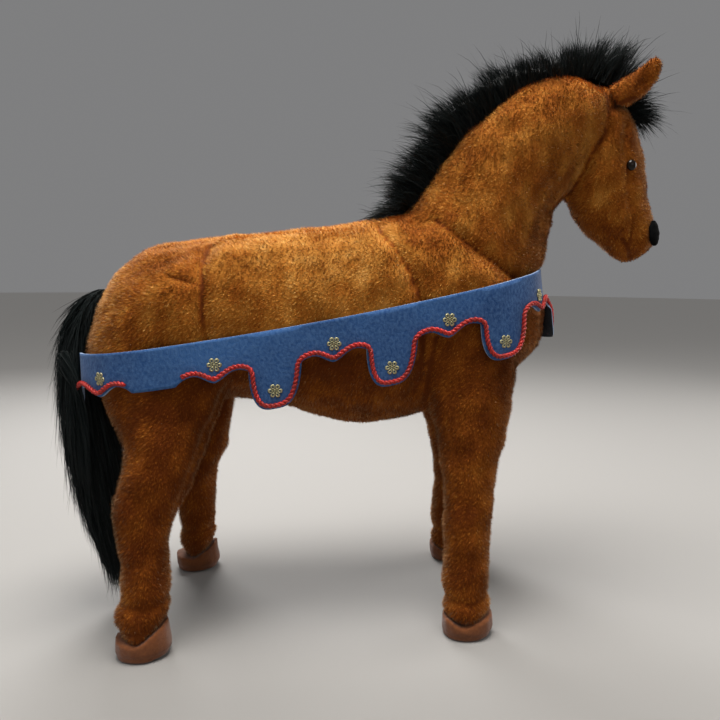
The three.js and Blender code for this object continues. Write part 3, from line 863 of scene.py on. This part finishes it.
def tubeAlong(centres, radius, sides):
    # a round tube through many centres, as points and faces
    ahead = unit(np.gradient(centres, axis=0))
    upward = np.tile([0.0, 0.0, 1.0], (len(centres), 1))
    steep = np.abs(ahead[:, 2]) > 0.9
    upward[steep] = [0.0, 1.0, 0.0]
    first = unit(np.cross(ahead, upward))
    for k in range(1, len(first)):
        carried = first[k - 1] - ahead[k] * (first[k - 1] @ ahead[k])
        first[k] = carried / np.linalg.norm(carried)
    second = np.cross(ahead, first)
    angles = np.linspace(0, 2 * math.pi, sides, endpoint=False)[None, :, None]
    rings = centres[:, None] + radius * (
        np.cos(angles) * first[:, None] + np.sin(angles) * second[:, None])
    count = len(centres)
    grid = np.arange(count * sides).reshape(count, sides)
    right = np.roll(grid, -1, axis=1)
    faces = np.stack([grid[:-1], right[:-1], right[1:], grid[1:]], 2).reshape(-1, 4)
    return rings.reshape(-1, 3), faces, grid


def makeTrim(values):
    route, run = trimRoute()
    ahead = unit(np.gradient(route, axis=0))
    outward = unit(np.stack([route[:, 0] + gridShift, route[:, 1], 0 * run], 1))
    first = unit(outward - ahead * np.sum(outward * ahead, 1, keepdims=True))
    second = np.cross(ahead, first)
    points, faces = [], []
    base = 0
    for ply in range(2):
        angle = run / values["twist"] * 2 * math.pi + ply * math.pi
        centres = route + (values["radius"] - values["ply"]) * (
            np.cos(angle)[:, None] * first + np.sin(angle)[:, None] * second)
        tube, quads, grid = tubeAlong(centres, values["ply"], values["sides"])
        points.append(tube)
        faces += [tuple(int(i) + base for i in q) for q in [*quads, grid[0][::-1], grid[-1]]]
        base += len(tube)
    return newPiece("redTrim", np.concatenate(points), faces, [redThread]), run[-1]


redTrim, trimLength = makeTrim(trim)
standsFor(redTrim, "band_cord")
print("trim ready,", round(trimLength, 2), "m long")


# the rosettes

# a petal's and the knot's distance from the middle, half length and half width
rosetteShape = {"petals": 6, "petal": (0.0051, 0.0023, 0.0017), "knot": (0.0, 0.0013, 0.0013),
                "thread": 0.0009, "tube": 0.55, "rise": 0.021}


def makeRosette(values):
    # six petals stitched as loops of thread round a knot, lying in the XZ plane and facing -Y
    parts = []
    for k in range(values["petals"] + 1):
        angle = 2 * math.pi * k / values["petals"]
        knot = k == values["petals"]
        out, length, width = values["knot"] if knot else values["petal"]
        deselectAll()
        bpy.ops.mesh.primitive_torus_add(
            major_segments=9, minor_segments=4, major_radius=1, minor_radius=values["tube"],
            rotation=(math.pi / 2, 0, 0))
        petal = bpy.context.active_object
        bpy.ops.object.transform_apply(location=True, rotation=True, scale=True)
        for vertex in petal.data.vertices:
            x, y, z = vertex.co
            narrow = 1 if knot else 1 + 0.3 * x
            vertex.co = Matrix.Rotation(-angle, 3, "Y") @ Vector(
                (out + x * length, y * values["thread"] / values["tube"], z * width * narrow))
        parts.append(petal)
    deselectAll()
    for petal in parts:
        petal.select_set(True)
    bpy.context.view_layer.objects.active = parts[0]
    bpy.ops.object.join()
    bpy.ops.object.shade_smooth()
    pattern = bpy.context.active_object
    pattern.data.materials.append(goldThread)
    return pattern


def placeRosettes(pattern):
    halves = round(2 * evenLappets + 1)
    number = 0
    for k in range(-halves + 1, halves + 1):
        if k == 2 * bandShape["foldedLappet"]:
            continue
        number += 1
        distance = halfLoop if abs(k) == halves else k / 2 * bandShape["pitch"]
        x, y, turn = onLoop(distance, bandShape["thickness"] / 2 + rosetteShape["thread"])
        height = bandTop(onLoop(distance)[0]) - bandDepth(distance) + rosetteShape["rise"]
        mesh = pattern.data.copy()
        face = Matrix.Rotation(math.pi / 2 + turn, 3, "Z")
        for vertex in mesh.vertices:
            spot = face @ vertex.co
            vertex.co = leaned((spot.x + x, spot.y + y, spot.z + height))
        piece = linked(f"goldRosette_{number:02d}", mesh)
        standsFor(piece, f"rosette_{number:02d}")
    return number


rosettePattern = makeRosette(rosetteShape)
print(placeRosettes(rosettePattern), "rosettes sewn on")
bpy.data.objects.remove(rosettePattern)


# the long black hair

hairShape = {
    "voxel": 0.005, "smoothing": 12, "coreSink": 0.011, "width": 0.0008,
    "maneStrands": 13000, "locks": 150, "strayShare": 0.09,
    "highest": 0.766, "foremost": 0.415,  # where the mane's longest hairs end
    "tailStrands": 11000, "besideLappet": 2600,
}
# pairs on the grid: where hair leaves the crest, and where its tip stands
maneLine = [
    ((12, 72.6), (8.9, 70.6)), ((15.3, 74.6), (10.4, 74)), ((18.1, 77), (12.2, 78.4)),
    ((20.9, 80.1), (13.8, 82.4)), ((23.3, 84.2), (16.2, 87.4)), ((25.3, 87.3), (19, 92)),
    ((28.4, 89.7), (23.4, 95.4)), ((31.3, 92.2), (27.2, 98.6)), ((34.6, 95.1), (31.6, 101.2)),
    ((38.6, 97.2), (36.6, 102.4)), ((43.6, 98), (41.6, 103.6)), ((47.7, 99.5), (47.4, 105.6)),
    ((50.3, 100.1), (52.6, 107)), ((53.4, 98.9), (59.5, 107)), ((55.5, 96.8), (62.4, 103)),
    ((57.5, 95), (64.6, 95)), ((59.3, 93), (64.4, 87.4)),
]
# the tail's middle line and half thickness, from the rump down
tailLine = [
    (-37.4, 59.2, 1.6), (-39.6, 57.8, 2.6), (-41.7, 54.4, 3.2), (-42.8, 48.4, 3.6),
    (-42.4, 41.6, 4.0), (-41.5, 35.4, 4.5), (-40.7, 28.6, 4.6), (-39.9, 21.6, 4.2),
    (-38.9, 15.6, 3.3), (-37.8, 10.6, 2.3), (-37, 7.6, 1.3),
]


def makeCore(node, name, sink, values):
    piece = remeshed(node, name, values)
    points, outward = shapeOf(piece.data)
    points += outward * (-sink + 0.003 * waves(points, 0.014, 21))[:, None]
    setPoints(piece.data, points)
    piece.data.materials.append(hairDark)
    standsFor(piece, node)
    return piece


def makeStrands(name, roots, middles, tips, width, dice, segments=4):
    # flat tapering hairs along a curve through three points each, in two shades of black
    count = len(roots)
    shares = np.linspace(0, 1, segments + 1)
    a, b, c = roots[:, None], middles[:, None], tips[:, None]
    t = shares[None, :, None]
    line = (1 - t) ** 2 * a + 2 * t * (1 - t) * b + t * t * c
    ahead = np.gradient(line, axis=1)
    facing = dice.normal(size=(count, 1, 3))
    across = np.cross(ahead, facing)
    across /= np.maximum(np.linalg.norm(across, axis=2, keepdims=True), 1e-12)
    taper = (1 - 0.75 * shares ** 1.5)[None, :, None]
    thin = (width * dice.uniform(0.7, 1.3, count))[:, None, None] * taper / 2
    leftSide, rightSide = line + across * thin, line - across * thin
    body = np.stack([leftSide[:, :-1], rightSide[:, :-1]], 2).reshape(count, segments * 2, 3)
    points = np.concatenate([body, line[:, -1:]], 1).reshape(-1, 3)
    each = 2 * segments + 1
    base = (np.arange(count) * each)[:, None]
    pattern = []
    for s in range(segments - 1):
        pattern += [[2 * s, 2 * s + 1, 2 * s + 3], [2 * s, 2 * s + 3, 2 * s + 2]]
    pattern.append([2 * segments - 2, 2 * segments - 1, 2 * segments])
    pattern = np.array(pattern)
    faces = (base[:, :, None] + pattern[None]).reshape(-1, 3)
    return triangleMesh(name, points, faces, [hairDark, hairSoft],
                        np.repeat(dice.integers(0, 2, count), len(pattern)))


def triangleMesh(name, points, faces, materials, slots, normals=None):
    mesh = bpy.data.meshes.new(name)
    mesh.vertices.add(len(points))
    mesh.vertices.foreach_set("co", points.astype(np.float32).ravel())
    mesh.loops.add(3 * len(faces))
    mesh.loops.foreach_set("vertex_index", faces.astype(np.int32).ravel())
    mesh.polygons.add(len(faces))
    mesh.polygons.foreach_set("loop_start", np.arange(0, 3 * len(faces), 3, dtype=np.int32))
    mesh.polygons.foreach_set("loop_total", np.full(len(faces), 3, np.int32))
    for material in materials:
        mesh.materials.append(material)
    mesh.polygons.foreach_set("material_index", slots.astype(np.int32))
    mesh.polygons.foreach_set("use_smooth", np.ones(len(faces), bool))
    mesh.update(calc_edges=True)
    if normals is not None:
        mesh.normals_split_custom_set_from_vertices(normals.tolist())
    return linked(name, mesh)


def alongLine(at, line):
    # the points at places counted along a line of points
    return readOff(line, at, np.arange(len(line)))


def makeMane(values):
    dice = np.random.default_rng(5)
    makeCore("mane", "maneCore", values["coreSink"], values)
    count = values["maneStrands"]
    rootLine = np.array([onGrid(x, 0, z) for (x, z), _ in maneLine])
    tipLine = np.array([onGrid(x, 0, z) for _, (x, z) in maneLine])
    t = dice.uniform(0, len(maneLine) - 1, count)
    roots = alongLine(t, rootLine)
    tips = alongLine(t + dice.normal(0, 0.45, count), tipLine)
    side = dice.uniform(-1, 1, count)
    roots[:, 1] = side * 0.017
    roots[:, 2] -= 0.004 + 0.006 * side ** 2
    reach = dice.uniform(0.6, 1.0, count) * (1 - 0.3 * side ** 2)
    stray = dice.uniform(size=count) < values["strayShare"]
    reach[stray] *= dice.uniform(1.1, 1.6, stray.sum())
    tips = roots + (tips - roots) * reach[:, None]
    tips[:, 1] = roots[:, 1] + side * 0.016
    # locks: each hair bends its tip towards that of its lock, and the locks lean all ways
    lockCount = values["locks"]
    locks = dice.uniform(-0.5, len(maneLine) - 0.5, lockCount)
    lockSide = dice.uniform(-1, 1, lockCount)
    lockLean = dice.normal((-0.006, 0, 0), (0.014, 0.011, 0.009), (lockCount, 3))
    alongGap, sideGap = t[:, None] - locks, side[:, None] - lockSide
    nearest = np.argmin(6 * alongGap ** 2 + sideGap ** 2, axis=1)
    inLock = np.maximum(np.bincount(nearest, minlength=lockCount), 1)
    heart = np.stack([np.bincount(nearest, tips[:, k], lockCount) / inLock for k in range(3)], 1)
    pull = dice.uniform(0.25, 0.85, count)[:, None]
    tips += (heart[nearest] + lockLean[nearest] - tips) * pull
    tips += dice.normal(0, 0.0045, (count, 3))
    tips[stray] += dice.normal(0, 0.014, (stray.sum(), 3))
    sweep = tips - roots
    length = np.linalg.norm(sweep, axis=1, keepdims=True)
    middles = roots + 0.52 * sweep + length * np.array([0.05, 0, 0.16])
    middles += dice.normal(0, 0.004, (count, 3))
    highest = dice.uniform(values["highest"] - 0.012, values["highest"], count)
    tips[:, 2] = np.minimum(tips[:, 2], highest)
    tips[:, 0] = np.minimum(tips[:, 0], values["foremost"])
    middles[:, 2] = np.minimum(middles[:, 2], highest)
    strands = makeStrands("maneHair", roots, middles, tips, values["width"], dice)
    rides(strands)


def makeTail(values):
    dice = np.random.default_rng(6)
    core = makeCore("tail", "tailCore", values["coreSink"] * 0.9, values)
    spots = pointsOf(core.data)
    spots[:, 2] = np.minimum(spots[:, 2], 58.4 * gridStep)
    setPoints(core.data, spots)
    count = values["tailStrands"]
    line = np.array([[*onGrid(x, 0, z), r * gridStep] for x, z, r in tailLine])
    t = dice.uniform(0, len(line) - 2.6, count)
    run = dice.uniform(1.6, 3.6, count)
    angle = dice.uniform(0, 2 * math.pi, count)
    bulk = np.sqrt(dice.uniform(0.15, 1.0, count))
    # round the band the hair also falls over both sides of the lappet under the tail
    wide = 1.0 + 0.55 * np.exp(-(((t + run * 0.6 - 4.2) / 1.6) ** 2))

    def spot(at, spread):
        place = alongLine(at, line)
        size = place[:, 3] * spread
        forward, aside = np.cos(angle), np.sin(angle)
        place[:, 0] += forward * size * np.where(forward > 0, 1.25, 1.0)
        place[:, 0] += np.clip(wide - 1, 0, 1) * np.abs(aside) * 0.012
        place[:, 1] += aside * size * wide
        return place[:, :3]

    roots = spot(t, bulk * 0.8)
    middles = spot(t + run * 0.55, bulk + dice.uniform(0, 0.12, count))
    middles += dice.normal(0, 0.0035, (count, 3))
    tips = spot(t + run, bulk * dice.uniform(0.85, 1.3, count)) + dice.normal(0, 0.005, (count, 3))
    tips[:, 2] -= np.maximum(0, t + run - (len(line) - 1)) * 0.022
    # hair that comes round from behind and hangs over both edges of the lappet under the tail
    more = values["besideLappet"]
    side = np.where(np.arange(more) % 2 == 0, -1.0, 1.0)
    far = dice.uniform(0, 1, more)
    back = -43.4 + 0.4 * dice.normal(size=more)
    sideRoots = np.stack([back, side * (3.8 + 1.0 * far), dice.uniform(45, 48.8, more)], 1)
    sideMiddles = np.stack([-41.7 + 2.2 * far, side * (6.1 + 1.1 * far), sideRoots[:, 2] - 4.5], 1)
    sideTips = np.stack([-42 + 2.8 * far, side * (5.5 + 1.4 * far), dice.uniform(24, 35, more)], 1)
    for spots in (sideRoots, sideMiddles, sideTips):
        spots *= gridStep
        spots[:, 0] -= gridShift
    strands = makeStrands(
        "tailHair", np.concatenate([roots, sideRoots]), np.concatenate([middles, sideMiddles]),
        np.concatenate([tips, sideTips]), values["width"], dice)
    rides(strands)


makeMane(hairShape)
makeTail(hairShape)
print("mane and tail ready")


# the pile of the plush

pile = {
    "blades": 625000, "long": 0.0043, "wide": 0.0009, "sunk": 0.0012,
    "lie": 0.6, "lieSpread": 0.2,  # how far the blades lean from upright
    "bandGap": 0.0045, "eyeGap": 0.003, "nosePadGap": 0.0035,
    "tuft": 0.0015, "tuftShade": 0.2, "bladeShade": 0.035, "tuftTilt": 0.36,
}


def surfaceTriangles(pieces):
    corners, ways = [], []
    for piece in pieces:
        mesh = piece.data
        mesh.calc_loop_triangles()
        index = np.empty(len(mesh.loop_triangles) * 3, np.int32)
        mesh.loop_triangles.foreach_get("vertices", index)
        index = index.reshape(-1, 3)
        points, outward = shapeOf(mesh)
        corners.append(points[index])
        ways.append(outward[index])
    return np.concatenate(corners), np.concatenate(ways)


def dropNear(roots, keep, candidates, pieces, gap):
    # takes out the candidates among the roots that lie within a gap of the pieces
    points, faces, base = [], [], 0
    for piece in pieces:
        mesh = piece.data
        points += [v.co.copy() for v in mesh.vertices]
        faces += [tuple(i + base for i in p.vertices) for p in mesh.polygons]
        base += len(mesh.vertices)
    tree = BVHTree.FromPolygons(points, faces)
    for index in np.nonzero(candidates)[0]:
        if tree.find_nearest(Vector(roots[index]), gap)[0] is not None:
            keep[index] = False


def napWay(points, outward):
    # the way the pile is brushed: back along the trunk, down the legs and towards the muzzle
    x, _, z = points.T[:, :, None]
    low = rise(0.33 - z, 0, 0.1)
    front = rise(x, 0.27, 0.05) * rise(z, 0.42, 0.05)
    way = (1 - low) * np.array([-0.8, 0, -0.75]) + low * np.array([-0.1, 0, -1.0])
    way = (1 - front) * way + front * np.array([0.45, 0, -1.0])
    for k in range(3):
        way[:, k] += 0.3 * waves(points, 0.03, 30 + k) + 0.3 * waves(points, 0.0022, 40 + k)
    way -= outward * np.sum(way * outward, 1, keepdims=True)
    return unit(way)


def makePile(values):
    dice = np.random.default_rng(11)
    corners, ways = surfaceTriangles([plushBody] + ears)
    first, second, third = corners.transpose(1, 0, 2)
    area = np.linalg.norm(np.cross(second - first, third - first), axis=1)
    count = values["blades"]
    picks = np.searchsorted(np.cumsum(area), dice.uniform(0, area.sum(), count))
    picks = np.minimum(picks, len(area) - 1)
    u, v = dice.uniform(size=count), dice.uniform(size=count)
    flip = u + v > 1
    u[flip], v[flip] = 1 - u[flip], 1 - v[flip]
    weights = np.stack([1 - u - v, u, v], 1)[:, :, None]
    roots = (corners[picks] * weights).sum(1)
    outward = unit((ways[picks] * weights).sum(1))
    # none under the band, round the eyes or on the nose pads
    keep = np.ones(count, bool)
    x, _, z = roots.T
    top = bandTop(x + gridShift)
    beside = (z < top + 0.006) & (z > top - 0.1)
    dropNear(roots, keep, beside, [feltBand, redTrim], values["bandGap"])
    for pieces, gap in ((eyes, values["eyeGap"]), (nostrils, values["nosePadGap"])):
        for piece in pieces:
            away = np.linalg.norm(roots - pointsOf(piece.data).mean(0), axis=1)
            dropNear(roots, keep, away < 0.03, [piece], gap)
    roots, outward = roots[keep], outward[keep]
    count = len(roots)
    brushed = napWay(roots, outward)
    onHead = rise(roots[:, 0], 0.29, 0.04) * rise(roots[:, 2], 0.44, 0.03)
    seams = allSeams(roots, outward, paintedLightAndTone["seamWidth"])
    long = values["long"] * (1 - 0.15 * onHead) * dice.uniform(0.7, 1.15, count) * (1 - 0.5 * seams)
    long *= 1 + 0.1 * waves(roots, 0.01, 50)
    lie = dice.normal(values["lie"], values["lieSpread"], count) + 0.08 * waves(roots, 0.012, 52)
    way = outward * np.cos(lie)[:, None] + brushed * np.sin(lie)[:, None]
    across = np.cross(outward, brushed) + outward * dice.normal(0, 0.35, count)[:, None]
    across += 0.3 * brushed * dice.normal(size=(count, 1))
    across = unit(across - way * np.sum(across * way, 1, keepdims=True))
    half = (values["wide"] * dice.uniform(0.7, 1.3, count) / 2)[:, None]
    sunk = roots - outward * values["sunk"]
    tips = sunk + way * (long + values["sunk"])[:, None]
    points = np.stack([sunk + across * half, sunk - across * half, tips], 1)
    facing = np.cross(points[:, 1] - points[:, 0], points[:, 2] - points[:, 0])
    wrong = np.sum(facing * outward, 1) < 0
    points[wrong] = points[wrong][:, [1, 0, 2]]
    # each blade's tone: the painted light and shade and panel tones of the tone function, with
    # random tone per blade and per tuft
    shade = toneAndPaintedLight(roots, outward, seams) + dice.normal(0, values["bladeShade"], count)
    shade += values["tuftShade"] * waves(roots * [1, 1, 1.5], values["tuft"], 63)
    tones = np.clip((shade * len(pileTones)).astype(int), 0, len(pileTones) - 1)
    tilt = np.stack([waves(roots, values["tuft"] * 1.1, 70 + k) for k in range(3)], 1)
    facing = unit(facing * np.where(wrong, -1, 1)[:, None])
    soft = unit(outward * 0.8 + facing * 0.05 + values["tuftTilt"] * tilt)
    # six pieces, parted by place, so that none is too heavy
    legs, along = roots[:, 2] < 0.30, roots[:, 0]
    zones = {
        "pileHead": (along > 0.25) & ~legs,
        "pileNeck": (along > 0.12) & (along <= 0.25) & ~legs,
        "pileBarrel": (along > -0.17) & (along <= 0.12) & ~legs,
        "pileRump": (along <= -0.17) & ~legs,
        "pileForelegs": (along > -0.05) & legs,
        "pileHindLegs": (along <= -0.05) & legs,
    }
    for name, chosen in zones.items():
        number = int(chosen.sum())
        piece = triangleMesh(
            name, points[chosen].reshape(-1, 3), np.arange(3 * number).reshape(-1, 3),
            pileMaterials, tones[chosen], np.repeat(soft[chosen], 3, axis=0))
        rides(piece)
        print(name, number)


makePile(pile)
print("pile ready")
